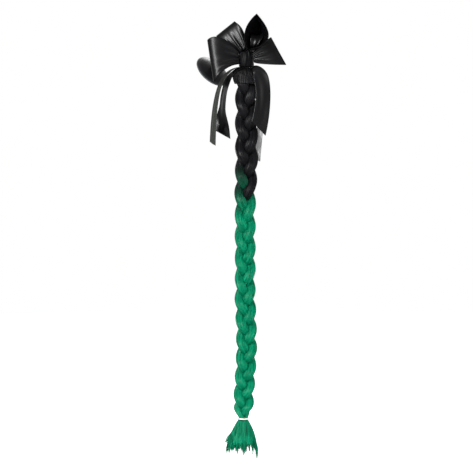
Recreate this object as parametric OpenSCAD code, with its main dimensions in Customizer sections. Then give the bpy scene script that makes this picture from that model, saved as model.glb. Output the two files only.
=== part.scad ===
// Costume hair plait that hangs from a suction cup, with a satin bow tied round its neck.
// The origin is the centre of the cup's lip, +Z is up, and -Y points away from the surface
// that the cup sticks to. The bow and the flat side of the plait face sideways by face_yaw.

/* [Suction cup] */
// Diameter of the cup's lip
cup_d = 57; // [44:0.5:70]
// Height of the cup's dome above the lip
cup_h = 9; // [7:0.5:13]
// Thickness of the cup's edge
cup_edge = 1.3; // [0.8:0.1:2]
// Width of the flat ring that seals
lip_w = 2.6; // [1.5:0.1:5]
// Depth of the hollow under the cup
hollow_h = 5.5; // [3:0.25:6]
// Diameter of the stem
stem_d = 8; // [6:0.5:10]
// Length of the stem between the dome and the knob's centre
stem_l = 13; // [12:0.5:18]
// Diameter of the round knob
knob_d = 14; // [12:0.5:16]
// Angle of the cup's axis above the horizontal
cup_tilt = 37.5; // [25:0.5:50]

/* [Hair bundle] */
// Diameter of the bundle over the knob
root_d = 22; // [20:0.5:26]
// Diameter of the bundle at the bow's neck
neck_d = 19; // [16:0.5:22]
// Distance of the hanging plait from the cup's centre
neck_out = 75; // [66:1:90]
// Radius of the bundle's bend
bend_r = 16; // [14:0.5:18]
// Thickness of the cord loop round the stem
cord_d = 3.6; // [2:0.2:4]
// Width of the rubber band round the bundle's root
band_w = 7; // [4:0.5:10]
// Thickness of the rubber band
band_t = 1.6; // [1:0.1:2.5]

/* [Plait] */
// Height of the first crossing under the cup's centre
plait_start = 45; // [40:1:60]
// Distance between the first two crossings
pitch_top = 36.1; // [32:0.1:40]
// Shortening of each crossing against the one above it
pitch_drop = 0.705; // [0.4:0.005:0.9]
// Number of crossings down to the tie
crossings = 16; // [8:1:17]
// Sideways reach of a lock from the plait's middle
weave_w = 10; // [9.8:0.1:12]
// Reach of a lock towards the front and the back
weave_d = 7; // [6.9:0.1:8]
// Diameter of one lock
lock_d = 9.8; // [8:0.1:9.9]
// Angle that the plait's flat side is turned towards
face_yaw = -44; // [-60:1:0]
// Thickness of the elastic tie
tie_t = 2.2; // [1.4:0.1:3]

/* [Tuft] */
// Length of the loose tuft under the tie
tuft_l = 64; // [40:1:90]
// Spread of the tuft's tips
tuft_w = 48; // [30:1:60]

/* [Bow] */
// Thickness of the folded satin
satin_t = 1; // [0.6:0.1:1.4]
// Height of the bow's knot above the cup's centre
knot_z = 14; // [10:0.5:18]
// Width of the knot
knot_w = 20; // [16:0.5:22]
// Height of the knot
knot_h = 22; // [16:0.5:24]
// Depth of the knot
knot_t = 12; // [10:0.5:14]
// Reach of the two left loops
left_reach = 43; // [36:0.5:50]
// Reach of the two right loops
right_reach = 39.5; // [34:0.5:46]
// Width of the satin at the fold of a loop
satin_w = 62; // [50:1:66]

/* [Tails] */
// Drop of the left outer tail
tail_lo = 114; // [90:1:130]
// Drop of the left inner tail
tail_li = 104; // [80:1:120]
// Drop of the right satin tail
tail_rs = 100; // [80:1:120]
// Drop of the right sheer tail
tail_rh = 138; // [110:1:150]
// Thickness of a tail
tail_t = 0.8; // [0.5:0.1:1.2]

/* [Fits] */
// Clearance between pieces that move against each other
run_gap = 0.3; // [0.3:0.05:0.5]
// Clearance between pieces that lie against each other
seat_gap = 0.15; // [0.1:0.05:0.3]

/* [Hidden] */

satin_col = [0.05, 0.05, 0.06];
hair_col = [0.04, 0.04, 0.05];
green_col = [0.02, 0.62, 0.42];

knob_s = cup_h + stem_l;                       // knob's centre, along the cup's axis
rim_s = knob_s + 2;                            // where the bundle starts, past the knob's widest place
band_s = knob_s + knob_d / 2 + 2;              // start of the rubber band, past the knob
bend_s = (neck_out - bend_r * (1 + sin(cup_tilt))) / cos(cup_tilt);
neck_z = bend_s * sin(cup_tilt) - bend_r * cos(cup_tilt);
bend_angle = 90 + cup_tilt;
wrap_h = knot_h - 3;                           // height of the band of satin round the neck
wrap_r = neck_d / 2 + run_gap;                 // its inner radius
wrap_out = wrap_r + 1.6;                       // its outer radius
fork_z = -(plait_start - 23);                  // where the bundle divides into three locks
tie_z = -(plait_start + drop_at(crossings - 0.55));
tie_scale = 0.45;                              // share of the plait's width left at the tie
lock_r = lock_d / 2;

// Height lost between the first crossing and crossing k.
function drop_at(k) = pitch_top * k - pitch_drop / 2 * k * (k - 1);

// Crossing count at height z, the inverse of drop_at.
function crossing_at(z) =
    let (b = pitch_top + pitch_drop / 2, u = -z - plait_start)
    (b - sqrt(b * b - 2 * pitch_drop * u)) / pitch_drop;

// Point at r to the right, f towards the front and height z, seen along the bow's facing direction.
function facing(r, f, z) = [r * cos(face_yaw) + f * sin(face_yaw),
                            r * sin(face_yaw) - f * cos(face_yaw) - neck_out, z];

// Smooth step from 0 to 1 between a and b.
function ease(x, a, b) = let (u = min(1, max(0, (x - a) / (b - a)))) u * u * (3 - 2 * u);

// Faces of a tube of m rings with n points each, in triangles, with flat ends.
function tube_faces(m, n) = concat(
    [for (i = [0 : m - 2], j = [0 : n - 1]) [i * n + j, i * n + (j + 1) % n, (i + 1) * n + j]],
    [for (i = [0 : m - 2], j = [0 : n - 1])
        [i * n + (j + 1) % n, (i + 1) * n + (j + 1) % n, (i + 1) * n + j]],
    [for (j = [1 : n - 2]) [0, j + 1, j]],
    [for (j = [1 : n - 2]) [(m - 1) * n, (m - 1) * n + j, (m - 1) * n + j + 1]]);

module tube(rings) {
    n = len(rings[0]);
    polyhedron([for (ring = rings) for (p = ring) p], tube_faces(len(rings), n));
}

// Faces of a thin sheet: m rings that run across the front and back across the rear,
// with w points on each side, in triangles, closed at both ends.
function sheet_faces(m, w) = let (n = 2 * w) concat(
    [for (i = [0 : m - 2], j = [0 : n - 1]) [i * n + j, i * n + (j + 1) % n, (i + 1) * n + j]],
    [for (i = [0 : m - 2], j = [0 : n - 1])
        [i * n + (j + 1) % n, (i + 1) * n + (j + 1) % n, (i + 1) * n + j]],
    [for (e = [0, 1], j = [0 : w - 2]) let (o = e * (m - 1) * n)
        e == 0 ? [o + j, o + n - 1 - j, o + j + 1] : [o + j, o + j + 1, o + n - 1 - j]],
    [for (e = [0, 1], j = [0 : w - 2]) let (o = e * (m - 1) * n)
        e == 0 ? [o + j + 1, o + n - 1 - j, o + n - 2 - j]
               : [o + j + 1, o + n - 2 - j, o + n - 1 - j]]);

module on_cup_axis() rotate([90 - cup_tilt, 0, 0]) children();

// One moulded piece: thin dome, stem and round knob.
module suction_cup() {
    r = cup_d / 2;
    inner = r - lip_w;
    steps = 14;
    ball = knob_d / 2;
    neck_angle = asin(stem_d / knob_d);
    color([0.16, 0.17, 0.19]) on_cup_axis() rotate_extrude($fn = 96) polygon(concat(
        [for (i = [0 : steps]) let (x = inner * i / steps) [x, hollow_h * (1 - pow(x / inner, 2))]],
        [[r - 0.4, 0], [r, 0.4]],
        [for (i = [steps : -1 : 0]) let (x = stem_d / 2 + (r - stem_d / 2) * i / steps)
            [x, cup_edge + (cup_h - cup_edge) * (1 - pow((x - stem_d / 2) / (r - stem_d / 2), 2))]],
        [for (i = [0 : 12]) let (a = 180 - neck_angle - (180 - neck_angle) * i / 12)
            [ball * sin(a), knob_s + ball * cos(a)]]));
}

// Cord loop that lies round the stem, behind the knob.
module root_loop() {
    color([0.08, 0.08, 0.09]) on_cup_axis() translate([0, 0, cup_h + run_gap + cord_d / 2])
        rotate_extrude($fn = 48) translate([stem_d / 2 + run_gap + cord_d / 2, 0])
            circle(d = cord_d, $fn = 24);
}

// Rubber band that binds the bundle's root.
module root_band() {
    r = root_d / 2 + seat_gap;
    color([0.10, 0.10, 0.11]) on_cup_axis() translate([0, 0, band_s])
        rotate_extrude($fn = 64) translate([r, 0]) difference() {
            square([band_t, band_w]);
            for (i = [0 : 2]) translate([band_t + 0.4, band_w * (i + 0.5) / 3])
                circle(r = 0.8, $fn = 16);
        }
}

// Middle of the bundle at the distance s from the cup: along the cup's axis, round the bend, down.
function bundle_mid(s) = let (bend_l = bend_r * bend_angle * PI / 180)
    s < bend_s ? [0, -s * cos(cup_tilt), s * sin(cup_tilt)]
    : s < bend_s + bend_l ? let (a = cup_tilt - (s - bend_s) / bend_r * 180 / PI)
        [0, -bend_s * cos(cup_tilt) - bend_r * (sin(cup_tilt) - sin(a)),
         bend_s * sin(cup_tilt) - bend_r * (cos(cup_tilt) - cos(a))]
    : [0, -neck_out, neck_z - (s - bend_s - bend_l)];

// Angle of the bundle's run above the horizontal at the distance s.
function bundle_slope(s) = max(-90, min(cup_tilt, cup_tilt - (s - bend_s) / bend_r * 180 / PI));

// Half width of the bundle sideways (k = 0) and front to back (k = 1) at the distance s.
function bundle_half(s, k) = let (z = bundle_mid(s)[2], past = s > bend_s + bend_r,
    fork = k == 0 ? weave_w + lock_r : weave_d * 0.87 + lock_r)
    past ? neck_d / 2 + (fork - neck_d / 2) * ease(-z, -(knot_z - wrap_h / 2) + 3, -fork_z)
    : root_d / 2 + (neck_d - root_d) / 2 * ease(s, band_s + band_w, bend_s + bend_r);

// Hair gathered over the knob, bent over and led down to the plait.
module hair_bundle() {
    steps = 44;
    sides = 20;
    s_end = bend_s + bend_r * bend_angle * PI / 180 + neck_z - fork_z;
    rings = [for (i = [0 : steps]) let (s = rim_s + (s_end - rim_s) * i / steps,
        m = bundle_mid(s), a = bundle_slope(s), side = bundle_half(s, 0), deep = bundle_half(s, 1))
        [for (j = [0 : sides - 1]) let (q = -360 * j / sides, u = side * cos(q), v = deep * sin(q),
            x = u * cos(face_yaw) + v * sin(face_yaw), n = u * sin(face_yaw) - v * cos(face_yaw))
            m + [x, -n * sin(a), -n * cos(a)]]];
    color(hair_col) difference() {
        tube(rings);
        on_cup_axis() translate([0, 0, knob_s]) sphere(d = knob_d + 2 * run_gap, $fn = 48);
    }
}

// Share of the full width that the plait has at height z.
function plait_taper(z) = let (d = -z - plait_start, full = -tie_z - plait_start)
    1 - 0.11 * ease(d, 0.2 * full, 0.36 * full) - 0.07 * ease(d, 0.8 * full, 0.95 * full)
    - (0.82 - tie_scale) * ease(d, 0.93 * full, full);

// Sideways wander of the hanging plait at height z.
function plait_drift(z) = let (d = -z - plait_start, full = -tie_z - plait_start)
    -2 * ease(d, 0.2 * full, 0.32 * full) + 2 * ease(d, 0.6 * full, 0.75 * full)
    - 5 * ease(d, 0.76 * full, full);

// Middle of lock i at height z, in the plait's sideways and front directions.
function lock_mid(i, z) = let (phase = 120 * crossing_at(z) + 120 * i + 30, k = plait_taper(z))
    [plait_drift(z) + k * weave_w * sin(phase), -k * weave_d * sin(2 * phase)];

// One of the three locks that cross in turn.
module lock(i) {
    sides = 10;
    rings = 96;
    step = 0.5;
    top = fork_z - seat_gap;
    color(i == 1 ? hair_col : green_col) tube([for (j = [0 : rings])
        let (z = top + (tie_z - top) * j / rings, m = lock_mid(i, z),
            d = (lock_mid(i, z - step) - lock_mid(i, z + step)) / (2 * step),
            flat = j == 0 || j == rings, r = lock_r * plait_taper(z), len_side = norm([1, d[0]]),
            len_front = norm([1, d[1]]))
        [for (a = [0 : sides - 1]) let (q = -360 * a / sides, u = r * cos(q), v = r * sin(q))
            facing(m[0] + (flat ? u : u / len_side), m[1] + (flat ? v : v / len_front),
                   z + (flat ? 0 : u * d[0] / len_side + v * d[1] / len_front))]]);
}

module lock_left() lock(0);
module lock_middle() lock(1);
module lock_right() lock(2);

// Clear elastic ring that ties the plait's end.
module end_elastic() {
    r = tie_scale * (weave_w + lock_r) + seat_gap;
    m = facing(plait_drift(tie_z), 0, tie_z);
    color([0.92, 0.92, 0.90]) translate(m) rotate_extrude($fn = 48) translate([r + tie_t / 2, 0])
        circle(d = tie_t, $fn = 20);
}

// One tapering wisp of the tuft: root place, tip place, length share and fullness.
module wisp(root, tip, share, full) {
    sides = 8;
    steps = 9;
    drift = plait_drift(tie_z);
    tube([for (i = [0 : steps]) let (t = i / steps, r = 1.8 * (1 - t) + full * sin(180 * pow(t, 1.1)) + 0.35,
        side = drift + root[0] + (tip[0] - root[0]) * (1 - pow(1 - t, 1.6)),
        front = root[1] + (tip[1] - root[1]) * t)
        [for (a = [0 : sides - 1]) let (q = -360 * a / sides)
            facing(side + r * cos(q), front + 0.8 * r * sin(q), tie_z - seat_gap - tuft_l * share * t)]]);
}

// Loose ends of the hair under the tie.
module tuft() {
    spread = tuft_w / 2;
    reach = tie_scale * weave_w * 0.9;
    color(green_col) union() {
        wisp([-reach, 0], [-1.15 * spread, 0.5], 0.5, 2.4);
        wisp([-0.6 * reach, 3], [-0.85 * spread, 4], 0.91, 3.6);
        wisp([-0.5 * reach, -3.2], [-0.45 * spread, -4], 0.77, 4);
        wisp([0, 0], [-0.02 * spread, 1], 0.88, 4.4);
        wisp([0.5 * reach, 3], [0.3 * spread, 4], 0.84, 4);
        wisp([0.6 * reach, -3.2], [0.5 * spread, -4], 0.68, 3.6);
        wisp([reach, 0], [0.87 * spread, 0], 1, 2.6);
    }
}

// Satin wound round the neck of the bundle, under the knot.
module neck_wrap() {
    color(satin_col) translate([0, -neck_out, knot_z - wrap_h / 2]) difference() {
        rotate_extrude($fn = 64) polygon([[wrap_r - 1, 0], [wrap_out - 0.6, 0], [wrap_out, 0.8],
            [wrap_out - 0.3, wrap_h * 0.3], [wrap_out, wrap_h * 0.36], [wrap_out - 0.3, wrap_h * 0.64],
            [wrap_out, wrap_h * 0.7], [wrap_out, wrap_h - 0.8], [wrap_out - 0.6, wrap_h],
            [wrap_r - 1, wrap_h]]);
        translate([0, 0, -1]) cylinder(r = wrap_r, h = wrap_h + 2, $fn = 64);
    }
}

// Tight centre of the bow: satin wound over the loops' roots, with shallow pleats.
module bow_knot() {
    sides = 24;
    steps = 12;
    mid = wrap_out + knot_t / 2 + seat_gap;
    color(satin_col) difference() {
        tube([for (i = [0 : steps]) let (t = i / steps, z = knot_z - knot_h / 2 + knot_h * t,
            swell = 0.72 + 0.28 * pow(sin(180 * t), 0.6))
            [for (j = [0 : sides - 1]) let (q = 360 * j / sides, pleat = 1 - 0.035 * (1 + cos(6 * q)),
                c = sign(cos(q)) * pow(abs(cos(q)), 0.8), s = sign(sin(q)) * pow(abs(sin(q)), 0.8))
                facing(knot_w / 2 * swell * pleat * c - 1, mid + knot_t / 2 * swell * pleat * s, z)]]);
        translate([0, -neck_out, knot_z - knot_h]) cylinder(r = wrap_out + seat_gap, h = 2 * knot_h, $fn = 64);
    }
}

// A loop of satin that leaves the knot, folds and comes back.
// root: start beside the knot, aim: direction in the bow's plane, lean: backward tilt,
// turn: turn of the width out of the bow's plane, up and low: half widths at the fold,
// up_bow and low_bow: how late the edges spread, belly: half depth, skew: slant of the fold.
module satin_loop(root, aim, lean, reach, turn, up, low, up_bow, low_bow, belly, skew, hand, slim = 1) {
    steps = 26;
    across = 6;
    pinch = knot_h * 0.3;
    throat = satin_t * 1.3;
    rise = [cos(aim) * cos(lean), -sin(lean), sin(aim) * cos(lean)];
    width0 = hand * [-sin(aim), 0, cos(aim)];
    front0 = cross(width0, rise) * hand;
    wide = width0 * cos(turn) + front0 * sin(turn);
    deep = front0 * cos(turn) - width0 * sin(turn);
    rings = [for (i = [0 : steps]) let (t = i / steps, s = sin(180 * t),
        out = reach * pow(s, slim), off = belly * sin(360 * t) + throat * cos(180 * t),
        run = reach * cos(180 * t) * slim * (s > 0.01 ? pow(s, slim - 1) : 1),
        climb = 2 * belly * cos(360 * t) - throat * s, l = norm([run, climb]),
        normal = (deep * run - rise * climb) / l)
        [for (side = [1, -1]) for (j = [0 : across]) let (w = -hand * side * (1 - 2 * j / across),
            half = w > 0 ? pinch + (up - pinch) * pow(s, up_bow) : pinch + (low - pinch) * pow(s, low_bow),
            p = root + rise * (out + skew * w * s) + wide * w * half + deep * off
                + normal * side * satin_t / 2)
            facing(p[0], p[1], p[2])]];
    color(satin_col) polyhedron([for (ring = rings) for (p = ring) p], sheet_faces(steps + 1, across + 1));
}

knot_left = -knot_w / 2 - 1 - seat_gap;        // left side of the knot
knot_right = knot_w / 2 - 1 + seat_gap;        // right side of the knot

module loop_lower_left() satin_loop(root = [knot_left + 0.2, 19, knot_z - 1], aim = 184, lean = 4,
    reach = left_reach, turn = 0, up = satin_w * 0.52, low = satin_w * 0.48, up_bow = 0.6, low_bow = 3,
    belly = 6, skew = 2.5, hand = -1);

module loop_upper_left() satin_loop(root = [knot_left + 4.6, 13.8, knot_z + knot_h / 2 + 1.3], aim = 124,
    lean = 18, reach = left_reach * 0.95, turn = 10, up = satin_w * 0.3, low = satin_w * 0.3,
    up_bow = 0.4, low_bow = 1, belly = 5, skew = 0, hand = -1);

module loop_upper_right() satin_loop(root = [knot_right - 3.6, 20.4, knot_z + knot_h / 2 + 0.9], aim = 76,
    lean = -4, reach = right_reach * 1.34, turn = 50, up = satin_w * 0.46, low = satin_w * 0.26,
    up_bow = 1, low_bow = 1, belly = 15, skew = 0, hand = 1, slim = 1.15);

module loop_lower_right() satin_loop(root = [knot_right + 0.6, 19.5, knot_z + 1], aim = 15, lean = 4,
    reach = right_reach, turn = 0, up = satin_w * 0.36, low = satin_w * 0.36, up_bow = 1, low_bow = 0.9,
    belly = 4, skew = -5.6, hand = 1);

// Point on a curve through four control points.
function bezier(p, t) = pow(1 - t, 3) * p[0] + 3 * t * pow(1 - t, 2) * p[1]
    + 3 * t * t * (1 - t) * p[2] + pow(t, 3) * p[3];

// A hanging tail: path in the bow's directions, half width and turn at the top and the end,
// and how much longer its right edge is than its left one.
module satin_tail(path, half_top, half_end, turn_top, turn_end, slant) {
    steps = 16;
    across = 4;
    h = 0.01;
    rings = [for (i = [0 : steps]) let (t = i / steps, m = bezier(path, t),
        d = bezier(path, t + h) - bezier(path, t - h), run = d / norm(d),
        turn = turn_top + (turn_end - turn_top) * ease(t, 0.1, 0.9),
        side0 = [cos(turn), sin(turn), 0], side = side0 - run * (side0 * run),
        wide = side / norm(side), normal = cross(run, wide),
        half = half_top + (half_end - half_top) * ease(t, 0, 0.6))
        [for (face = [1, -1]) for (j = [0 : across]) let (w = face * (1 - 2 * j / across),
            cut = slant * w * ease(t, 0.5, 1),
            p = m + wide * w * half + [0, 0, -cut] + normal * face * tail_t / 2)
            facing(p[0], p[1], p[2])]];
    polyhedron([for (ring = rings) for (p = ring) p], sheet_faces(steps + 1, across + 1));
}

tail_top = knot_z - knot_h / 2 - run_gap - tail_t / 2;   // height where the tails leave the knot

module tail_left_outer() color([0.30, 0.31, 0.30]) satin_tail([[-8, 12.8, tail_top + 0.5],
    [-40, 1, tail_top], [-49, 1, tail_top - tail_lo * 0.35], [-51, 1, tail_top - tail_lo]],
    2, 6.5, 80, 88, 3);

module tail_left_inner() color(satin_col) satin_tail([[-3, 15, tail_top - 1.1],
    [-30, -4, tail_top - 12], [-40, -12, tail_top - tail_li * 0.45], [-35, -12, tail_top - tail_li * 0.96]],
    2, 11, 60, 10, 7);

module tail_right_satin() color(satin_col) satin_tail([[5.5, 18, tail_top - 0.3],
    [25, 12, tail_top - 2], [31, 4, tail_top - tail_rs * 0.5], [23, 4, tail_top - tail_rs * 0.92]],
    3, 9.5, 10, 14, 8);

module tail_right_sheer() color([0.45, 0.46, 0.47]) satin_tail([[3.5, 13.5, tail_top - 0.8],
    [24, 2, tail_top - 8], [27, -7, tail_top - tail_rh * 0.5], [19, -8, tail_top - tail_rh]],
    1.5, 4, 10, 30, 2);

suction_cup();
root_loop();
root_band();
hair_bundle();
lock_left();
lock_middle();
lock_right();
end_elastic();
tuft();
neck_wrap();
bow_knot();
loop_upper_left();
loop_lower_left();
loop_upper_right();
loop_lower_right();
tail_left_outer();
tail_left_inner();
tail_right_satin();
tail_right_sheer();
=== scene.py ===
import math

import bpy
import numpy as np
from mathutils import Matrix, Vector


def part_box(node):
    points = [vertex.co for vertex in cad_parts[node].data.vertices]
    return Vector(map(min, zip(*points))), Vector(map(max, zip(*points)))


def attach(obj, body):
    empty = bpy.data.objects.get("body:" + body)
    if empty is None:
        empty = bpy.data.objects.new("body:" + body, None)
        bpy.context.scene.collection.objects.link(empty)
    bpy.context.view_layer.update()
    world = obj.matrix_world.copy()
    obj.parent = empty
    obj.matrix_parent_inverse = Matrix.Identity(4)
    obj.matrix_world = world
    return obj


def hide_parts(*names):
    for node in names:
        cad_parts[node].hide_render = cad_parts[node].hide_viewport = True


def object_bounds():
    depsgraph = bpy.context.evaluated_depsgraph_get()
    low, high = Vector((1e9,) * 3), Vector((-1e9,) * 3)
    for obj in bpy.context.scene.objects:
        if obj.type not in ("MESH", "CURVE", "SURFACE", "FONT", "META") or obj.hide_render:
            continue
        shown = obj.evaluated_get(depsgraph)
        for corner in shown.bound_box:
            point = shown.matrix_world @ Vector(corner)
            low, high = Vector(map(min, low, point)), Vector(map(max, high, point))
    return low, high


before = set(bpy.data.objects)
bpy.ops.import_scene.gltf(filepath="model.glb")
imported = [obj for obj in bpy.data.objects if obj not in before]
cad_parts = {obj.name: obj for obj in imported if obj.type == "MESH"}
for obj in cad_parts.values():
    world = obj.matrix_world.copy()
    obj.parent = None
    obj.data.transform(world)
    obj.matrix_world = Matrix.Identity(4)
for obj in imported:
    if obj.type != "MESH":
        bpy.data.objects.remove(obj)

cad_box = [list(corner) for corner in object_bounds()]

# Camera. A long lens looks square at the bow, which faces to the left of the cup's own front, and
# one pixel of the photograph is 1.5 mm at the plait. Places below the bend are given in millimetres
# to the right, to the front and up from the middle of the satin band round the bundle's neck.
MM = 0.001
FACE_YAW = math.radians(-44)
RIGHT = np.array([math.cos(FACE_YAW), math.sin(FACE_YAW), 0.0])
FRONT = np.array([math.sin(FACE_YAW), -math.cos(FACE_YAW), 0.0])
UP = np.array([0.0, 0.0, 1.0])
band_low, band_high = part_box("neck_wrap")
NECK = np.array([(band_low.x + band_high.x) / 2, (band_low.y + band_high.y) / 2, 0.0])


def facing(right, front, height):
    """Points in metres from distances in millimetres: to the right, to the front and up."""
    place = np.multiply.outer(right, RIGHT) + np.multiply.outer(front, FRONT)
    return NECK + MM * (place + np.multiply.outer(height, UP))


PIXEL = 1.5
PICTURE_W = 473
PICTURE_RIGHT = -15.0
PICTURE_UP = -247.8
LENS = 180
SENSOR = 36
FAR_END = 30
distance = LENS / SENSOR * PICTURE_W * PIXEL * MM
camera = bpy.data.objects.new("camera", bpy.data.cameras.new("camera"))
camera.data.lens = LENS
camera.data.sensor_width = SENSOR
camera.data.clip_end = FAR_END
camera.location = facing(PICTURE_RIGHT, distance / MM, PICTURE_UP)
camera.rotation_euler = (math.radians(90), 0, FACE_YAW)
bpy.context.scene.collection.objects.link(camera)
bpy.context.scene.camera = camera


# Suction cup. Soft smoke-black PVC, moulded in one piece with its stem and knob, and pressed on by
# hand; the pale ring at its edge is a painted highlight, a lighter base colour near the edge.
def new_material(name):
    """An empty node material with its Principled shader and its output."""
    material = bpy.data.materials.new(name)
    material.use_nodes = True
    nodes = material.node_tree.nodes
    return material, nodes, material.node_tree.links, nodes["Principled BSDF"]


def ramp(nodes, stops):
    """A colour ramp with (position, colour) stops."""
    node = nodes.new("ShaderNodeValToRGB")
    elements = node.color_ramp.elements
    while len(elements) < len(stops):
        elements.new(0.5)
    for element, (position, colour) in zip(elements, stops):
        element.position = position
        element.color = (*colour, 1)
    return node


def noise(nodes, links, vector, scale, detail=3.0, stretch=(1, 1, 1)):
    """Noise on a vector that is first stretched."""
    mapping = nodes.new("ShaderNodeMapping")
    mapping.inputs["Scale"].default_value = stretch
    links.new(vector, mapping.inputs["Vector"])
    texture = nodes.new("ShaderNodeTexNoise")
    texture.inputs["Scale"].default_value = scale
    texture.inputs["Detail"].default_value = detail
    links.new(mapping.outputs["Vector"], texture.inputs["Vector"])
    return texture.outputs["Fac"]


def bump(nodes, links, height, shader, strength, depth):
    """Bump from a height, in metres of depth."""
    node = nodes.new("ShaderNodeBump")
    node.inputs["Strength"].default_value = strength
    node.inputs["Distance"].default_value = depth
    links.new(height, node.inputs["Height"])
    links.new(node.outputs["Normal"], shader.inputs["Normal"])


def repaint(piece, material):
    """Give a solid of the frame this material in place of its plain one."""
    piece.data.materials.clear()
    piece.data.materials.append(material)


cup_plastic, nodes, links, shader = new_material("smoke black PVC")
place = nodes.new("ShaderNodeTexCoord").outputs["Object"]
from_centre = nodes.new("ShaderNodeVectorMath")
from_centre.operation = "LENGTH"
links.new(place, from_centre.inputs[0])
CUP_EDGE = 28.5
RIM_HIGHLIGHT_WIDTH = 1.2
# Painted highlight: the base colour turns pale grey over the last 1.2 mm of the cup's edge.
painted_rim_highlight = ramp(nodes, [(0.0, (0.004, 0.004, 0.005)),
                   ((CUP_EDGE - RIM_HIGHLIGHT_WIDTH) * MM, (0.006, 0.006, 0.007)),
                   ((CUP_EDGE - RIM_HIGHLIGHT_WIDTH / 2) * MM, (0.20, 0.21, 0.22)),
                   (CUP_EDGE * MM, (0.38, 0.39, 0.41))])
links.new(from_centre.outputs["Value"], painted_rim_highlight.inputs["Fac"])
links.new(painted_rim_highlight.outputs["Color"], shader.inputs["Base Color"])
shader.inputs["Roughness"].default_value = 0.32
shader.inputs["Specular IOR Level"].default_value = 0.08
bump(nodes, links, noise(nodes, links, place, scale=60), shader, strength=0.25, depth=0.0004)
repaint(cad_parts["suction_cup"], cup_plastic)


# Cord loop. Matt round cord, twisted from fine plies. It is laid round the stem behind the knob and
# stitched to the hair, so that the plait can turn on the cup.
def grid_object(name, points, material, closed_across=False, capped=False, flip=False):
    """Mesh of a grid of points (rows, columns), with UVs along the columns and the rows."""
    rows, columns = points.shape[:2]
    vertices = points.reshape(-1, 3).tolist()
    faces = []
    uvs = []
    last = columns if closed_across else columns - 1
    for i in range(rows - 1):
        for j in range(last):
            k = (j + 1) % columns
            quad = [i * columns + j, i * columns + k, (i + 1) * columns + k, (i + 1) * columns + j]
            uv = [(j / columns, i / rows), ((j + 1) / columns, i / rows),
                  ((j + 1) / columns, (i + 1) / rows), (j / columns, (i + 1) / rows)]
            faces.append(quad[::-1] if flip else quad)
            uvs.extend(uv[::-1] if flip else uv)
    if capped:
        for row, turned in ((0, True), (rows - 1, False)):
            centre = len(vertices)
            vertices.append(points[row].mean(axis=0).tolist())
            for j in range(columns):
                k = (j + 1) % columns
                triangle = [row * columns + j, row * columns + k, centre]
                faces.append(triangle[::-1] if turned != flip else triangle)
                uvs.extend([(j / columns, row / rows)] * 3)
    mesh = bpy.data.meshes.new(name)
    mesh.from_pydata(vertices, [], faces)
    layer = mesh.uv_layers.new(name="surface")
    layer.data.foreach_set("uv", np.array(uvs, np.float32).ravel())
    mesh.materials.append(material)
    mesh.shade_smooth()
    piece = bpy.data.objects.new(name, mesh)
    bpy.context.scene.collection.objects.link(piece)
    return piece


cord_black, nodes, links, shader = new_material("black cord")
place = nodes.new("ShaderNodeTexCoord").outputs["UV"]
plies = nodes.new("ShaderNodeTexWave")
plies.bands_direction = "DIAGONAL"
plies.inputs["Scale"].default_value = 9
links.new(place, plies.inputs["Vector"])
cord_colour = ramp(nodes, [(0.0, (0.008, 0.008, 0.009)), (1.0, (0.030, 0.030, 0.033))])
links.new(plies.outputs["Fac"], cord_colour.inputs["Fac"])
links.new(cord_colour.outputs["Color"], shader.inputs["Base Color"])
shader.inputs["Roughness"].default_value = 0.8
CUP_TILT = math.radians(37.5)
CUP_AXIS = np.array([0.0, -math.cos(CUP_TILT), math.sin(CUP_TILT)])
CUP_SIDE = np.cross(CUP_AXIS, [1.0, 0.0, 0.0])
cord_radius = 1.8
ring_radius = 6.1
ring_seat = 11.1
plies_count = 26
around = np.linspace(0, 2 * math.pi, 208, endpoint=False)
across = np.linspace(0, 2 * math.pi, 20, endpoint=False)
furrow = 0.07
ply_angle = plies_count * around[:, None] + 3 * across[None]
lay = cord_radius * (1 - furrow + furrow * np.abs(np.cos(0.5 * ply_angle)))
reach = ring_radius + lay * np.cos(across)[None]
ring = MM * (reach[..., None] * (np.cos(around)[:, None, None] * np.array([1.0, 0, 0])
             + np.sin(around)[:, None, None] * CUP_SIDE)
             + (ring_seat + lay * np.sin(across)[None])[..., None] * CUP_AXIS)
cord = grid_object("cord_round_the_stem", np.concatenate([ring, ring[:1]]), cord_black,
                   closed_across=True)
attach(cord, "cord_loop")
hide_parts("root_loop")

# Rubber band. Matt black rubber with shallow grooves, moulded in one ring. It is stretched round
# the bundle's root, and presses the hair together behind the knob.
band_rubber, nodes, links, shader = new_material("band rubber")
place = nodes.new("ShaderNodeTexCoord").outputs["Object"]
rubber_colour = ramp(nodes, [(0.3, (0.010, 0.010, 0.011)), (0.7, (0.020, 0.020, 0.021))])
rubber_grain = noise(nodes, links, place, scale=900)
links.new(rubber_grain, rubber_colour.inputs["Fac"])
links.new(rubber_colour.outputs["Color"], shader.inputs["Base Color"])
shader.inputs["Roughness"].default_value = 0.6
bump(nodes, links, rubber_grain, shader, strength=0.3, depth=0.0001)
repaint(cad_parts["root_band"], band_rubber)


# Hair bundle. Black synthetic hair, bound over the knob, bent over and combed down through the
# bow's band to where the three locks part; a smooth core carries a coat of loose fibres.
def ease(x, start, end):
    """Smooth step from 0 at start to 1 at end."""
    u = np.clip((np.asarray(x, float) - start) / (end - start), 0, 1)
    return u * u * (3 - 2 * u)


BLACK_HAIR = [(0.0, (0.002, 0.002, 0.0025)), (0.5, (0.005, 0.005, 0.006)),
              (1.0, (0.013, 0.013, 0.015))]
GREEN_HAIR = [(0.0, (0.000, 0.070, 0.034)), (0.45, (0.000, 0.205, 0.098)),
              (1.0, (0.003, 0.34, 0.17))]
RAGGED = 0.05
LATE_GREEN = 1.6


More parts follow.
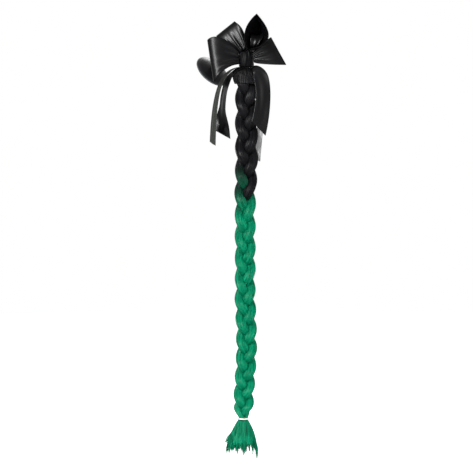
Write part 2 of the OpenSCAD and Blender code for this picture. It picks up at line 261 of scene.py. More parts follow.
def hair_material(name, black_above=None, green_below=None, on_fibres=False):
    """Streaky synthetic hair: black, or black above one height and green below another, in mm."""
    material, nodes, links, shader = new_material(name)
    coordinates = nodes.new("ShaderNodeTexCoord")
    place = coordinates.outputs["Object"]
    if on_fibres:
        streaks = noise(nodes, links, place, scale=700, detail=2, stretch=(1, 1, 0.03))
    else:
        streaks = noise(nodes, links, coordinates.outputs["UV"], scale=90, detail=4,
                        stretch=(1, 0.16, 1))
    black = ramp(nodes, BLACK_HAIR)
    links.new(streaks, black.inputs["Fac"])
    colour = black.outputs["Color"]
    if green_below is not None:
        green = ramp(nodes, [(0.25 + 0.5 * position, tone) for position, tone in GREEN_HAIR])
        links.new(streaks, green.inputs["Fac"])
        height = nodes.new("ShaderNodeSeparateXYZ")
        links.new(place, height.inputs["Vector"])
        ragged = nodes.new("ShaderNodeMath")
        ragged.operation = "MULTIPLY_ADD"
        ragged.inputs[1].default_value = RAGGED
        links.new(streaks, ragged.inputs[0])
        links.new(height.outputs["Z"], ragged.inputs[2])
        turn = nodes.new("ShaderNodeMapRange")
        turn.interpolation_type = "SMOOTHSTEP"
        turn.inputs["From Min"].default_value = black_above * MM + RAGGED / 2
        turn.inputs["From Max"].default_value = green_below * MM + RAGGED / 2
        links.new(ragged.outputs["Value"], turn.inputs["Value"])
        late = nodes.new("ShaderNodeMath")
        late.operation = "POWER"
        late.inputs[1].default_value = LATE_GREEN
        links.new(turn.outputs["Result"], late.inputs[0])
        both = nodes.new("ShaderNodeMix")
        both.data_type = "RGBA"
        links.new(late.outputs["Value"], both.inputs["Factor"])
        links.new(colour, both.inputs["A"])
        links.new(green.outputs["Color"], both.inputs["B"])
        colour = both.outputs["Result"]
    links.new(colour, shader.inputs["Base Color"])
    shader.inputs["Roughness"].default_value = 0.42
    shader.inputs["Specular IOR Level"].default_value = 0.05
    bump(nodes, links, streaks, shader, strength=0.5, depth=0.0004)
    return material


def fibre_tree():
    """Turns polylines into thin tapered tubes; inputs: thickness, sides and material."""
    tree = bpy.data.node_groups.new("hair fibres", "GeometryNodeTree")
    face = tree.interface
    face.new_socket("Geometry", in_out="INPUT", socket_type="NodeSocketGeometry")
    for label, kind in (("Thickness", "NodeSocketFloat"), ("Sides", "NodeSocketInt"),
                        ("Material", "NodeSocketMaterial")):
        face.new_socket(label, in_out="INPUT", socket_type=kind)
    face.new_socket("Geometry", in_out="OUTPUT", socket_type="NodeSocketGeometry")
    nodes = tree.nodes
    links = tree.links
    given = nodes.new("NodeGroupInput")
    curves = nodes.new("GeometryNodeMeshToCurve")
    taper = nodes.new("GeometryNodeInputNamedAttribute")
    taper.data_type = "FLOAT"
    taper.inputs["Name"].default_value = "taper"
    profile = nodes.new("GeometryNodeCurvePrimitiveCircle")
    tubes = nodes.new("GeometryNodeCurveToMesh")
    tubes.inputs["Fill Caps"].default_value = True
    smooth = nodes.new("GeometryNodeSetShadeSmooth")
    real = nodes.new("GeometryNodeRealizeInstances")
    paint = nodes.new("GeometryNodeSetMaterial")
    made = nodes.new("NodeGroupOutput")
    radius = nodes.new("ShaderNodeMath")
    radius.operation = "MULTIPLY"
    radius.inputs[1].default_value = 0.5
    links.new(given.outputs["Geometry"], curves.inputs["Mesh"])
    links.new(given.outputs["Thickness"], radius.inputs[0])
    links.new(radius.outputs["Value"], profile.inputs["Radius"])
    links.new(given.outputs["Sides"], profile.inputs["Resolution"])
    links.new(curves.outputs["Curve"], tubes.inputs["Curve"])
    links.new(profile.outputs["Curve"], tubes.inputs["Profile Curve"])
    links.new(taper.outputs["Attribute"], tubes.inputs["Scale"])
    links.new(tubes.outputs["Mesh"], smooth.inputs["Geometry"])
    links.new(smooth.outputs["Geometry"], real.inputs["Geometry"])
    links.new(real.outputs["Geometry"], paint.inputs["Geometry"])
    links.new(given.outputs["Material"], paint.inputs["Material"])
    links.new(paint.outputs["Geometry"], made.inputs["Geometry"])
    return tree


FIBRES = fibre_tree()


def fibre_object(name, paths, material, thickness, sides=3):
    """Tubes along paths, an array (fibres, points, 3), thinner at both ends."""
    count, length = paths.shape[:2]
    starts = np.arange(count)[:, None] * length
    steps = np.arange(length - 1)[None]
    edges = np.stack([starts + steps, starts + steps + 1], -1).reshape(-1, 2)
    mesh = bpy.data.meshes.new(name)
    mesh.from_pydata(paths.reshape(-1, 3).tolist(), edges.tolist(), [])
    along = np.linspace(0, 1, length)
    taper = np.minimum(1, 0.25 + 6 * np.minimum(along, 1 - along))
    mesh.attributes.new("taper", "FLOAT", "POINT").data.foreach_set("value", np.tile(taper, count))
    guides = bpy.data.objects.new(name + "_guides", mesh)
    bpy.context.scene.collection.objects.link(guides)
    modifier = guides.modifiers.new("fibres", "NODES")
    modifier.node_group = FIBRES
    sizes = {"Thickness": thickness * MM, "Sides": sides, "Material": material}
    for item in FIBRES.interface.items_tree:
        if item.in_out == "INPUT" and item.name in sizes:
            modifier[item.identifier] = sizes[item.name]
    bpy.context.view_layer.update()
    evaluated = guides.evaluated_get(bpy.context.evaluated_depsgraph_get())
    piece = bpy.data.objects.new(name, bpy.data.meshes.new_from_object(evaluated))
    piece.data.name = name
    bpy.data.objects.remove(guides)
    bpy.context.scene.collection.objects.link(piece)
    return piece


NECK_OUT = 75.0
BEND_R = 16.0
ROOT_R = 11.0
NECK_R = 9.5
KNOB_S = 22.0
THINNER_FROM = 38.0
LEFT_SHOULDER = 4.5
WIDER = 7.4
LEFT_SWELL = 3.6
DEEPER = 3.0
ROOT_GAP = 2.2
END_GAP = 0.2
bend_s = (NECK_OUT - BEND_R * (1 + math.sin(CUP_TILT))) / math.cos(CUP_TILT)
bend_l = BEND_R * (math.pi / 2 + CUP_TILT)
neck_z = bend_s * math.sin(CUP_TILT) - BEND_R * math.cos(CUP_TILT)
FORK_Z = -22.0
bundle_end = bend_s + bend_l + neck_z - FORK_Z


def bundle_point(s, angle, lift):
    """Point on the bundle at the distance s from the cup, at an angle round it, in metres."""
    turn = np.clip(CUP_TILT - (s - bend_s) / BEND_R, -math.pi / 2, CUP_TILT)
    straight = np.minimum(s, bend_s)
    drop = np.maximum(s - bend_s - bend_l, 0)
    out = straight * math.cos(CUP_TILT) + BEND_R * (math.sin(CUP_TILT) - np.sin(turn))
    high = straight * math.sin(CUP_TILT) - BEND_R * (math.cos(CUP_TILT) - np.cos(turn)) - drop
    hangs = s > bend_s + BEND_R
    left = np.cos(angle) < 0
    spread = np.where(left, ease(-high, -LEFT_SHOULDER, 2), ease(-high, 2, 16)) * hangs
    below = np.clip((LEFT_SHOULDER - high) / (LEFT_SHOULDER - FORK_Z), 0, 1)
    swell = np.where(left, LEFT_SWELL, 0.0) * np.sin(math.pi * below) ** 0.8 * hangs
    plain = ROOT_R - (ROOT_R - NECK_R) * ease(s, THINNER_FROM, bend_s + BEND_R)
    side = plain + spread * WIDER + swell + lift
    deep = plain + DEEPER * ease(-high, -1.5, -0.5 * FORK_Z) * hangs + lift
    u = side * np.cos(angle)
    v = deep * np.sin(angle)
    x = u * math.cos(FACE_YAW) + v * math.sin(FACE_YAW)
    n = u * math.sin(FACE_YAW) - v * math.cos(FACE_YAW)
    y = -out - n * np.sin(turn)
    z = high - n * np.cos(turn)
    return MM * np.stack([x, y, z], -1)


black_hair = hair_material("black hair")
black_fibres = hair_material("black hair fibres", on_fibres=True)
s = np.linspace(KNOB_S + ROOT_GAP, bundle_end - END_GAP, 120)[:, None]
angle = np.linspace(0, 2 * math.pi, 96, endpoint=False)[None]
combed = 0.28 * np.sin(17 * angle + 0.05 * s) + 0.22 * np.sin(29 * angle - 0.08 * s + 1.3)
core = grid_object("bundle_core", bundle_point(s, angle, combed - 0.5), black_hair,
                   closed_across=True, capped=True, flip=True)
rng = np.random.default_rng(4)
count = 320
s = np.linspace(KNOB_S + ROOT_GAP + 0.3, bundle_end - END_GAP, 60)[None]
angle = (rng.uniform(0, 2 * math.pi, (count, 1))
         + 0.25 * np.sin(0.03 * s + rng.uniform(0, 6, (count, 1))))
lift = (0.05 + 0.35 * rng.random((count, 1))
        + 0.2 * np.sin(0.05 * s + rng.uniform(0, 6, (count, 1))))
coat = fibre_object("bundle_fibres", bundle_point(s, angle, lift), black_fibres,
                    thickness=0.45)
for piece in (core, coat):
    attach(piece, "hair")
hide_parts("hair_bundle")

# Plaited locks. Three locks of synthetic hair, black at the top and green below, crossed in turn
# and pressed flat against each other; each has a combed core and a coat of fibres.
PLAIT_START = 45.0
PLAIT_L = 493.0
CROSSINGS = 16
PITCH_DROP = 0.705
PITCH_TOP = PLAIT_L / CROSSINGS + PITCH_DROP / 2 * (CROSSINGS - 1)
WEAVE_W = 8.6
WEAVE_D = 6.6
LOCK_HALF_W = 8.6
LOCK_HALF_D = 6.6
LOCK_GAP = 0.1
FORK_GAP = 0.15
FLATNESS = 14.0
THINNED = 0.09
TIE_SCALE = 0.42
tie_low, tie_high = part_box("end_elastic")
TIE_Z = (tie_low.z + tie_high.z) / 2 / MM


def crossing_at(z):
    """Number of crossings above the height z."""
    b = PITCH_TOP + PITCH_DROP / 2
    return (b - np.sqrt(b * b + 2 * PITCH_DROP * (z + PLAIT_START))) / PITCH_DROP


def plait_taper(z):
    """Share of its full width that the plait has at the height z."""
    d = -z - PLAIT_START
    full = -TIE_Z - PLAIT_START
    return (1 - THINNED * ease(d, 0.2 * full, 0.36 * full)
            - (1 - THINNED - TIE_SCALE) * ease(d, 0.958 * full, 1.004 * full))


def plait_drift(z):
    """Sideways wander of the hanging plait at the height z, to the right."""
    d = -z - PLAIT_START
    full = -TIE_Z - PLAIT_START
    return (-2 * ease(d, 0.2 * full, 0.32 * full) + 2 * ease(d, 0.6 * full, 0.75 * full)
            - 5 * ease(d, 0.76 * full, full))


def lock_middle(i, z):
    """Middle of lock i at the height z: to the right and to the front."""
    phase = np.radians(120 * crossing_at(z) + 120 * i + 30)
    k = plait_taper(z)
    return np.stack([plait_drift(z) + k * WEAVE_W * np.sin(phase), -k * WEAVE_D * np.sin(2 * phase)], -1)


def lock_radius(i, z, angle):
    """Radius of lock i at a height and an angle, pressed flat where another lock lies on it."""
    full = plait_taper(z) / np.hypot(np.cos(angle) / LOCK_HALF_W, np.sin(angle) / LOCK_HALF_D)
    outline = full ** -FLATNESS
    here = lock_middle(i, z)
    for other in range(3):
        if other != i:
            gap = lock_middle(other, z) - here
            apart = np.linalg.norm(gap, axis=-1)
            towards = (gap[..., 0] * np.cos(angle) + gap[..., 1] * np.sin(angle)) / apart
            limit = (apart / 2 - LOCK_GAP / 2) / np.maximum(towards, 0.05)
            outline = outline + limit ** -FLATNESS
    return outline ** (-1 / FLATNESS)


def lock_point(i, z, angle, lift):
    """Point on lock i in metres."""
    radius = lock_radius(i, z, angle) + lift
    here = lock_middle(i, z)
    return facing(here[..., 0] + radius * np.cos(angle), here[..., 1] + radius * np.sin(angle),
                  z + 0 * angle)


# Name of each lock, the height above which it is black and the one below which it is green.
LOCKS = (("lock_left", -186, -222), ("lock_middle", -158, -220), ("lock_right", -128, -220))
for i, (name, black_above, green_below) in enumerate(LOCKS):
    on_core = hair_material(name + " hair", black_above, green_below)
    on_fibres = hair_material(name + " fibres", black_above, green_below, on_fibres=True)
    z = np.linspace(FORK_Z - FORK_GAP, TIE_Z, 440)[:, None]
    angle = np.linspace(0, 2 * math.pi, 80, endpoint=False)[None]
    combed = (0.20 * np.sin(13 * angle + 0.03 * z + i) + 0.16 * np.sin(23 * angle - 0.05 * z)
              + 0.12 * np.sin(37 * angle + 0.04 * z + 2 * i)) * plait_taper(z) - 0.25
    core = grid_object(name + "_core", lock_point(i, z, angle, combed), on_core,
                       closed_across=True, capped=True)
    rng = np.random.default_rng(20 + i)
    count = 150
    middle = rng.uniform(TIE_Z + 40, FORK_Z - 40, (count, 1))
    half = rng.uniform(30, 75, (count, 1))
    z = np.clip(middle + half * np.linspace(1, -1, 40)[None], TIE_Z + 0.5, FORK_Z - 0.5)
    z = np.sort(z, axis=1)[:, ::-1] - 0.01 * np.arange(40)[None]
    angle = (rng.uniform(0, 2 * math.pi, (count, 1))
             + 0.3 * np.sin(0.05 * z + rng.uniform(0, 6, (count, 1))))
    lift = (0.05 + 0.25 * rng.random((count, 1))
            + 0.15 * np.sin(0.09 * z + rng.uniform(0, 6, (count, 1))))
    coat = fibre_object(name + "_fibres", lock_point(i, z, angle, lift), on_fibres, thickness=0.4)
    for piece in (core, coat):
        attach(piece, "hair")
    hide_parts(name)

# Elastic tie. A thin ring of clear to milky elastic, moulded in one piece. It is stretched tight
# round the plait's end and keeps the three locks together.
clear_elastic, nodes, links, shader = new_material("clear elastic")
place = nodes.new("ShaderNodeTexCoord").outputs["Object"]
milky = ramp(nodes, [(0.3, (0.72, 0.74, 0.73)), (0.7, (0.88, 0.89, 0.88))])
links.new(noise(nodes, links, place, scale=500), milky.inputs["Fac"])
links.new(milky.outputs["Color"], shader.inputs["Base Color"])
shader.inputs["Roughness"].default_value = 0.25
shader.inputs["Subsurface Weight"].default_value = 0.3
shader.inputs["Subsurface Scale"].default_value = 0.002
repaint(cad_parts["end_elastic"], clear_elastic)

# Tuft. The loose ends of the locks under the tie, in green synthetic hair. They fan out and are
# drawn to points in wisps; a core inside keeps the light from showing through.
def facing_grid(right, front, height):
    """facing() for arrays of any shape that broadcast together."""
    right, front, height = np.broadcast_arrays(right, front, height)
    return facing(right, front, height)


ABOVE_PLAIT = 300
green_fibres = hair_material("green tuft fibres", ABOVE_PLAIT + 100, ABOVE_PLAIT, on_fibres=True)
green_core = hair_material("green tuft", ABOVE_PLAIT + 100, ABOVE_PLAIT)
TUFT_L = 64.0
TUFT_HALF = 24.0
CORE_SHARE = 0.62
# Longest hairs across the tuft: the place as a share of the half width, and the share of the length.
LONGEST = ((-1.12, 0.62), (-0.86, 0.91), (-0.5, 0.77), (-0.05, 0.88), (0.3, 0.84), (0.58, 0.72),
           (0.9, 1.0))
tie_drift = float(plait_drift(TIE_Z))


def fan_spread(t):
    """Share of the tuft's spread that it has reached at the share t of its length."""
    return 0.27 + 0.73 * (1 - (1 - np.minimum(1, t / 0.75)) ** 1.7)


def tuft_point(t, side, deep):
    """Point in the tuft at t down its length; side and deep run from -1 to 1."""
    return facing_grid(tie_drift - 3 * t + TUFT_HALF * fan_spread(t) * side,
                       (4.4 + 3 * t) * deep, TIE_Z - 0.2 - TUFT_L * t)


tuft_pieces = []
rng = np.random.default_rng(9)
t = np.linspace(0, CORE_SHARE, 40)[:, None]
angle = np.linspace(0, 2 * math.pi, 120, endpoint=False)[None]
ragged = 1 - 0.10 * np.abs(np.sin(9 * angle)) * (t / CORE_SHARE)
narrowed = (0.93 + 0.02 * np.sin(17 * angle + 8 * t)) * (1 - 0.25 * (t / CORE_SHARE) ** 4)
core_points = tuft_point(t * ragged, narrowed * np.cos(angle), narrowed * np.sin(angle))
tuft_pieces.append(grid_object("tuft_core", core_points, green_core, closed_across=True, capped=True))
count = 2600
angle = rng.uniform(0, 2 * math.pi, (count, 1))
radius = np.sqrt(rng.uniform(0.15, 1.0, (count, 1)))
side = radius * np.cos(angle)
deep = radius * np.sin(angle)
wisp_count = 34
wisp_tip = np.linspace(-1.14, 0.98, wisp_count) + rng.normal(0, 0.03, wisp_count)
wisp_front = rng.uniform(-0.7, 0.7, wisp_count)
places, shares = zip(*LONGEST)
longest = np.interp(wisp_tip, places, shares)
wisp_length = longest * rng.uniform(0.80, 1.03, wisp_count)
near = np.argmin(np.abs(side - wisp_tip[None] * 0.95 + rng.normal(0, 0.10, (count, 1))), axis=1)
tip = wisp_tip[near][:, None] + rng.normal(0, 0.03, (count, 1))
tip_front = wisp_front[near][:, None] + rng.normal(0, 0.1, (count, 1))
length = wisp_length[near][:, None] * rng.uniform(0.60, 1.0, (count, 1)) ** 0.6
t = np.linspace(0, 1, 26)[None]
pull = ease(t, 0.45, 1.05)
side = side + (tip - side) * pull + 0.02 * np.sin(7 * t + 9 * angle)
deep = deep + (tip_front - deep) * pull
tuft_pieces.append(fibre_object("tuft_fibres", tuft_point(length * t, side, deep), green_fibres,
                                thickness=0.38))
for piece in tuft_pieces:
    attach(piece, "hair")
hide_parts("tuft")


# Satin band. The same black satin as the bow, a smooth weave with a soft sheen. It is wound round
# the neck of the bundle and carries the knot on its front.
def satin_material(name, tone=(0.003, 0.003, 0.0035), rough=0.30, shine=0.06):
    """Black satin: a fine weave, drawn along the ribbon, with a soft broad sheen."""
    material, nodes, links, shader = new_material(name)
    coordinates = nodes.new("ShaderNodeTexCoord")
    slubs = noise(nodes, links, coordinates.outputs["UV"], scale=30, detail=4, stretch=(1, 14, 1))
    dark = tuple(0.75 * value for value in tone)
    light = tuple(1.4 * value for value in tone)
    tones = ramp(nodes, [(0.3, dark), (0.7, light)])
    links.new(slubs, tones.inputs["Fac"])
    links.new(tones.outputs["Color"], shader.inputs["Base Color"])
    shader.inputs["Roughness"].default_value = rough
    shader.inputs["Specular IOR Level"].default_value = shine
    bump(nodes, links, slubs, shader, strength=0.12, depth=0.0002)
    return material


black_satin = satin_material("black satin")
repaint(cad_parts["neck_wrap"], black_satin)

# Knot. Black satin wound tight over the roots of the loops, so that it falls into upright pleats.
# It sits on the front of the band and is sewn to it.
KNOT_Z = 14.0
KNOT_W = 20.0
KNOT_H = 22.0
KNOT_T = 12.0
KNOT_SHIFT = -1.0
BAND_GAP = 0.3
BAND_T = 1.6
KNOT_GAP = 0.15
WRAP_OUT = NECK_R + BAND_GAP + BAND_T
knot_middle = WRAP_OUT + KNOT_T / 2 + KNOT_GAP
# Painted shade: the knot's satin is a darker, duller copy of the black satin, so that it reads as in
# shade.
knot_satin_painted_darker = satin_material("black satin, painted darker as shade", tone=(0.002, 0.002, 0.0025), rough=0.42,
                               shine=0.02)
t = np.linspace(0, 1, 60)[:, None]
q = np.linspace(0, 2 * math.pi, 120, endpoint=False)[None]
swell = 0.70 + 0.30 * np.sin(math.pi * t) ** 0.6
pleats = 1 - 0.05 * (1 + np.cos(9 * q + 1.5 * np.sin(3 * t))) - 0.03 * np.cos(17 * q + 4 * t)
x = np.sign(np.cos(q)) * np.abs(np.cos(q)) ** 0.8
y = np.sign(np.sin(q)) * np.abs(np.sin(q)) ** 0.8
right = KNOT_SHIFT + KNOT_W / 2 * swell * pleats * x
front = np.maximum(knot_middle + KNOT_T / 2 * swell * pleats * y, WRAP_OUT + 0.1)
knot = grid_object("pleated_knot", facing_grid(right, front, KNOT_Z - KNOT_H / 2 + KNOT_H * t),
                   knot_satin_painted_darker, closed_across=True, capped=True, flip=True)
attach(knot, "bow")
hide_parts("bow_knot")


# Bow loops. Four loops of black satin cut 44 to 62 mm wide, gathered into the knot and folded at
# their far ends; each is one closed sheet with pleats that fan out from the knot.
def sheet_object(name, middle, thickness, material, flip=False):
    """A thin closed sheet round a grid of middle points (length, width, 3), in metres."""
    along = np.gradient(middle, axis=0)
    across = np.gradient(middle, axis=1)
    normal = np.cross(along, across)
    normal /= np.maximum(np.linalg.norm(normal, axis=-1, keepdims=True), 1e-12)
    rows, columns = middle.shape[:2]
    front = middle + normal * thickness * MM / 2
    back = middle - normal * thickness * MM / 2
    ring = np.concatenate([front, back[:, ::-1]], axis=1)
    count = 2 * columns
    faces = []
    uvs = []
    for i in range(rows - 1):
        for j in range(count):
            k = (j + 1) % count
            faces.append([i * count + j, i * count + k, (i + 1) * count + k, (i + 1) * count + j])
            u, v = [(w if w < columns else count - 1 - w) / columns for w in (j, k)]
            uvs.extend([(u, i / rows), (v, i / rows), (v, (i + 1) / rows), (u, (i + 1) / rows)])
    for row, turned in ((0, True), (rows - 1, False)):
        for j in range(columns - 1):
            start = row * count
            end = start + count - 1
            quad = [start + j, start + j + 1, end - 1 - j, end - j]
            faces.append(quad[::-1] if turned else quad)
            uvs.extend([(j / columns, row / rows)] * 4)
    mesh = bpy.data.meshes.new(name)
    if flip:
        faces = [face[::-1] for face in faces]
    mesh.from_pydata(ring.reshape(-1, 3).tolist(), [], faces)
    layer = mesh.uv_layers.new(name="surface")
    layer.data.foreach_set("uv", np.array(uvs, np.float32).ravel())
    mesh.materials.append(material)
    mesh.shade_smooth()
    piece = bpy.data.objects.new(name, mesh)
    bpy.context.scene.collection.objects.link(piece)
    return piece


def satin_loop(name, node, hand, root, aim, lean, turn, reach, upper, lower,
               upper_bow, lower_bow, belly, skew=0.0, tuck=0.0, slim=1.0, crease=1.0, lop=0.0,
               close=0.0, shut=0.0):
    """A loop that leaves the knot at root, runs out along aim, folds and comes back.

    hand is -1 on the left and 1 on the right. aim, lean and turn are angles in degrees: from the right
    upwards, to the back, and about the loop's own length. reach is its length, upper and lower are its
    half widths at the fold, and the bows say how soon it widens. belly is how far each side stands
    out, crease keeps the sides together near the knot and the fold, lop gives the front one more of
    the belly, close brings their lower edges together, and shut brings the back one's lower edge
    forward. skew slants the fold, tuck narrows its upper corner, and slim keeps the loop near the
    knot for longer.
    """
    aim, lean, turn = (math.radians(angle) for angle in (aim, lean, turn))
    rise = np.array([math.cos(aim) * math.cos(lean), -math.sin(lean), math.sin(aim) * math.cos(lean)])
    width = hand * np.array([-math.sin(aim), 0, math.cos(aim)])
    deep = np.cross(width, rise) * hand
    wide = width * math.cos(turn) + deep * math.sin(turn)
    deep = deep * math.cos(turn) - width * math.sin(turn)
    pinch = KNOT_H * PINCH_SHARE
    t = np.linspace(0, 1, 121)[:, None]
    w = np.linspace(-1, 1, 48)[None]
    s = np.clip(np.sin(math.pi * t), 0, 1)
    swing = np.sin(2 * math.pi * t)
    out = reach * s ** slim + skew * w * s
    half = np.where(w > 0, pinch + (upper * (1 - tuck * s ** 4) - pinch) * s ** upper_bow,
                    pinch + (lower - pinch) * s ** lower_bow)
    fan = (1 - s) ** 1.5 * (np.sin(9 * w + 1) + 0.6 * np.sin(17 * w))
    off = (belly * (1 + lop * np.sign(swing)) * np.sign(swing) * np.abs(swing) ** crease
           * (1 - close * (1 - w) / 2) + (ROOT_APART + fan) * np.cos(math.pi * t))
    behind = ease(-w, 0.45, 1) * ease(t, 0.5, 0.56) * ease(-t, -1, -0.8)
    off = off + shut * behind
    half = half * (1 + 0.12 * np.sign(shut) * behind)
    place = (np.array(root) + out[..., None] * rise + (w * half)[..., None] * wide
             + off[..., None] * deep)
    loop = sheet_object(name, facing_grid(place[..., 0], place[..., 1], place[..., 2]), SATIN_T,
                        black_satin, flip=hand > 0)
    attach(loop, "bow")
    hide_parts(node)
    return loop


LOOP_GAP = 0.15
KNOT_LEFT = KNOT_SHIFT - KNOT_W / 2 - LOOP_GAP
KNOT_RIGHT = KNOT_SHIFT + KNOT_W / 2 + LOOP_GAP
KNOT_TOP = KNOT_Z + KNOT_H / 2
PINCH_SHARE = 0.3
ROOT_APART = 1.3
SATIN_T = 0.6
SATIN_W = 62.0
LEFT_REACH = 43.0
RIGHT_REACH = 39.5
satin_loop("satin_lower_left", "loop_lower_left", -1,
           root=(KNOT_LEFT + 0.2, 19, KNOT_Z - 1), aim=184, lean=4, turn=0, reach=LEFT_REACH,
           upper=SATIN_W * 0.73, lower=SATIN_W * 0.48, upper_bow=0.5, lower_bow=2.3, belly=6,
           skew=2.5, tuck=0.28)
satin_loop("satin_upper_left", "loop_upper_left", -1,
           root=(KNOT_LEFT + 4.6, 13.8, KNOT_TOP + 1.3), aim=125, lean=18, turn=10,
           reach=LEFT_REACH * 1.04, upper=SATIN_W * 0.38, lower=SATIN_W * 0.3, upper_bow=0.6,
           lower_bow=1, belly=5, tuck=0.28)
satin_loop("satin_upper_right", "loop_upper_right", 1,
           root=(KNOT_RIGHT - 4.6, 21, KNOT_TOP + 1.6), aim=72, lean=-4, turn=76,
           reach=RIGHT_REACH * 1.18, upper=SATIN_W * 0.42, lower=SATIN_W * 0.34, upper_bow=0.7,
           lower_bow=0.8, belly=17.8, skew=8, slim=2.4, crease=2.1, lop=0.48, close=0.96, shut=4.5)
satin_loop("satin_lower_right", "loop_lower_right", 1,
           root=(KNOT_RIGHT + 0.6, 21.2, KNOT_Z + 1), aim=15, lean=-1, turn=0, reach=RIGHT_REACH,
           upper=SATIN_W * 0.38, lower=SATIN_W * 0.36, upper_bow=0.75, lower_bow=0.8, belly=3.4,
           skew=-5.6)

# Inner fold. Black satin that is crumpled into the upper right loop where it leaves the knot, and
# turns over inside it; its rounded crest catches the light.
def bezier(points, t):
    """Curve through four control points."""
    a, b, c, d = (np.array(point, float) for point in points)
    return (1 - t) ** 3 * a + 3 * t * (1 - t) ** 2 * b + 3 * t * t * (1 - t) * c + t ** 3 * d


FOLD_ROOT_HALF = 3.5
FOLD_HALF = 9.0
FOLD_RIGHT = 9.5
FOLD_DRIFT = 6.5
v = np.linspace(0, 1, 60)[:, None]
u = np.linspace(-1, 1, 32)[None]
# The crest's way from the knot, to the front and up.
crest = bezier([(27.0, 30.5), (36.0, 33.0), (33.0, 49.0), (19.0, 49.0)], v)
half = FOLD_ROOT_HALF + (FOLD_HALF - FOLD_ROOT_HALF) * ease(v, 0.0, 0.6)
fold_right = FOLD_RIGHT + FOLD_DRIFT * ease(v, 0.0, 0.7) + u * half
fold_front = crest[:, :1] + 0.7 * np.sin(6 * u + 3 * v) * (1 - v)
fold_height = crest[:, 1:] + 3.5 * u * u * ease(v, 0.1, 0.6)
inner_fold = sheet_object("satin_inner_fold", facing_grid(fold_right, fold_front, fold_height), SATIN_T,
                          black_satin)
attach(inner_fold, "bow")

# Tails. The ends of the satin hang from the knot, each cut at a slant and turned in its own way;
# the one behind on the right is sheer ribbon, with woven edges.
def hanging_tail(name, node, body, material, path, half_top, half_end, turn_top, turn_end, slant,
                 late=0.1):
    """A tail along a path, with its half width and its turn in degrees at the top and the end."""
    t = np.linspace(0, 1, 90)[:, None]
    line = bezier(path, t)
    run = np.gradient(line, axis=0)
    run /= np.linalg.norm(run, axis=-1, keepdims=True)
    turn = np.radians(turn_top + (turn_end - turn_top) * ease(t, late, 1))
    side = np.concatenate([np.cos(turn), np.sin(turn), 0 * turn], axis=1)
    side -= run * np.sum(side * run, axis=1, keepdims=True)
    side /= np.linalg.norm(side, axis=-1, keepdims=True)
    normal = np.cross(run, side)
    w = np.linspace(-1, 1, 22)[None]
    half = half_top + (half_end - half_top) * ease(t, 0, 0.4)
    wave = (0.6 * np.sin(2.4 * w + 5 * t) + 0.25 * np.sin(5 * w - 3 * t)) * ease(t, 0, 0.3)
    place = (line[:, None] + (w * half)[..., None] * side[:, None] + wave[..., None] * normal[:, None])
    place[..., 2] -= slant * w * ease(t, 0.5, 1)
    tail = sheet_object(name, facing_grid(place[..., 0], place[..., 1], place[..., 2]), TAIL_T, material)
    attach(tail, body)
    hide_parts(node)
    return tail


TAIL_T = 0.5
TAIL_GAP = 0.7
TAIL_TOP = KNOT_Z - KNOT_H / 2 - TAIL_GAP
# Painted sheen: the left outer tail's satin is a lighter, olive-grey copy of the black satin, standing
# in for the side light on it.
satin_with_painted_sheen = satin_material("black satin in a side light", tone=(0.030, 0.032, 0.028))
sheer, nodes, links, shader = new_material("sheer ribbon")
coordinates = nodes.new("ShaderNodeTexCoord")
shader.inputs["Base Color"].default_value = (0.06, 0.06, 0.065, 1)
shader.inputs["Roughness"].default_value = 0.5
edges = nodes.new("ShaderNodeSeparateXYZ")
links.new(coordinates.outputs["UV"], edges.inputs["Vector"])
WOVEN_EDGE = (0.9, 0.9, 0.9)
OPEN_WEAVE = (0.55, 0.55, 0.55)
solid = ramp(nodes, [(0.0, (1, 1, 1)), (0.07, WOVEN_EDGE), (0.10, OPEN_WEAVE), (0.86, OPEN_WEAVE),
                     (0.90, WOVEN_EDGE)])
links.new(edges.outputs["X"], solid.inputs["Fac"])
links.new(solid.outputs["Color"], shader.inputs["Alpha"])
TAIL_SPREAD = 51.0
TAIL_HALF = 11.0
hanging_tail("satin_left_outer", "tail_left_outer", "left_outer_tail", satin_with_painted_sheen,
             [(-8, 12.4, TAIL_TOP + 0.7), (-0.78 * TAIL_SPREAD, -5, TAIL_TOP - 2.5),
              (-0.96 * TAIL_SPREAD, 2.5, TAIL_TOP - 40), (-TAIL_SPREAD, 3, TAIL_TOP - 114)],
             half_top=2, half_end=6.5, turn_top=62, turn_end=52, slant=3)
hanging_tail("satin_left_inner", "tail_left_inner", "left_inner_tail", black_satin,
             [(-4, 14.5, TAIL_TOP - 0.9), (-0.65 * TAIL_SPREAD, -7, TAIL_TOP - 5),
              (-0.78 * TAIL_SPREAD, -18.5, TAIL_TOP - 47), (-0.69 * TAIL_SPREAD, -18.5, TAIL_TOP - 100)],
             half_top=2, half_end=TAIL_HALF, turn_top=66, turn_end=8, slant=7, late=0.7)
hanging_tail("satin_right", "tail_right_satin", "right_satin_tail", black_satin,
             [(5.5, 16.5, TAIL_TOP - 1), (0.53 * TAIL_SPREAD, 11.5, TAIL_TOP + 1),
              (0.58 * TAIL_SPREAD, 13.5, TAIL_TOP - 45), (0.355 * TAIL_SPREAD, 13.5, TAIL_TOP - 92)],
             half_top=4.6, half_end=TAIL_HALF, turn_top=6, turn_end=-12, slant=8)
hanging_tail("sheer_right", "tail_right_sheer", "right_sheer_tail", sheer,
             [(3.5, 12.8, TAIL_TOP - 0.8), (0.68 * TAIL_SPREAD, 7.5, TAIL_TOP - 1),
              (0.42 * TAIL_SPREAD, -3, TAIL_TOP - 69), (0.31 * TAIL_SPREAD, -8, TAIL_TOP - 138)],
             half_top=1.5, half_end=5, turn_top=10, turn_end=30, slant=2)

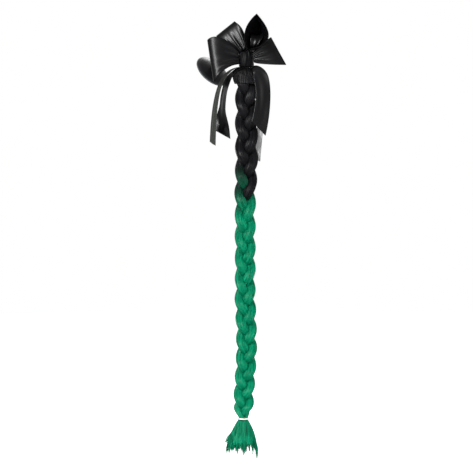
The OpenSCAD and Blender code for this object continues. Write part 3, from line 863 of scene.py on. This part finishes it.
# Studio. A white floor and a white backdrop that only the camera and reflections see at full
# strength, with a soft key lamp, a tall strip for the satin's sheen, a fill, a low and a back lamp.
def seen_by_camera(nodes, links):
    """1 for rays from the camera, off a glossy face or through a clear one, and 0 for the rest."""
    rays = nodes.new("ShaderNodeLightPath")
    seen = nodes.new("ShaderNodeMath")
    seen.operation = "MAXIMUM"
    links.new(rays.outputs["Is Camera Ray"], seen.inputs[0])
    links.new(rays.outputs["Is Glossy Ray"], seen.inputs[1])
    seen_through = nodes.new("ShaderNodeMath")
    seen_through.operation = "MAXIMUM"
    links.new(seen.outputs["Value"], seen_through.inputs[0])
    links.new(rays.outputs["Is Transmission Ray"], seen_through.inputs[1])
    return seen_through.outputs["Value"]


FLOOR_GLOW = 0.74
FLOOR_DROP = 0.03
FLOOR_HALF = 6
WORLD_LIGHT = 0.35
WORLD_SEEN = 1.0
paper, nodes, links, shader = new_material("white paper")
shader.inputs["Base Color"].default_value = (0.92, 0.92, 0.92, 1)
shader.inputs["Roughness"].default_value = 0.9
shader.inputs["Emission Color"].default_value = (1, 1, 1, 1)
glow = nodes.new("ShaderNodeMath")
glow.operation = "MULTIPLY"
glow.inputs[1].default_value = FLOOR_GLOW
links.new(seen_by_camera(nodes, links), glow.inputs[0])
links.new(glow.outputs["Value"], shader.inputs["Emission Strength"])
floor_z = cad_box[0][2] - FLOOR_DROP
corners = [(FLOOR_HALF * x, FLOOR_HALF * y, floor_z) for x, y in ((-1, -1), (1, -1), (1, 1), (-1, 1))]
floor_mesh = bpy.data.meshes.new("floor")
floor_mesh.from_pydata(corners, [], [(0, 1, 2, 3)])
floor_mesh.materials.append(paper)
floor = bpy.data.objects.new("floor", floor_mesh)
bpy.context.scene.collection.objects.link(floor)

world = bpy.data.worlds.new("studio")
bpy.context.scene.world = world
world.use_nodes = True
nodes = world.node_tree.nodes
links = world.node_tree.links
background = nodes["Background"]
background.inputs["Color"].default_value = (1, 1, 1, 1)
strength = nodes.new("ShaderNodeMapRange")
strength.inputs["To Min"].default_value = WORLD_LIGHT
strength.inputs["To Max"].default_value = WORLD_SEEN
links.new(seen_by_camera(nodes, links), strength.inputs["Value"])
links.new(strength.outputs["Result"], background.inputs["Strength"])


def soft_lamp(name, right, front, height, size, power, tall=0.0):
    """A soft lamp that looks at the plait's upper half; places and sizes in metres, power in watts."""
    lamp = bpy.data.objects.new(name, bpy.data.lights.new(name, "AREA"))
    lamp.data.shape = "RECTANGLE"
    lamp.data.size = size
    lamp.data.size_y = tall or size
    lamp.visible_diffuse = not tall
    lamp.data.energy = power
    lamp.location = facing(right / MM, front / MM, height / MM)
    towards = np.array(facing(0.0, 0.0, AIM_HEIGHT)) - np.array(lamp.location)
    lamp.rotation_euler = (math.acos(-towards[2] / np.linalg.norm(towards)), 0,
                           math.atan2(-towards[0], towards[1]))
    bpy.context.scene.collection.objects.link(lamp)


AIM_HEIGHT = -150.0
soft_lamp("key lamp", -1.2, 2.2, 1.4, size=0.4, power=70)
soft_lamp("tall strip for the satin's sheen", -1.5, 2.3, 0.6, size=0.45, power=420, tall=2.2)
soft_lamp("fill lamp", 1.8, 2.0, 0.3, size=0.6, power=26)
soft_lamp("low lamp", 0.5, 1.8, -0.45, size=0.5, power=4)
soft_lamp("back lamp", 0.6, -1.8, 1.4, size=1.0, power=25)

bpy.context.scene.view_settings.view_transform = "Standard"
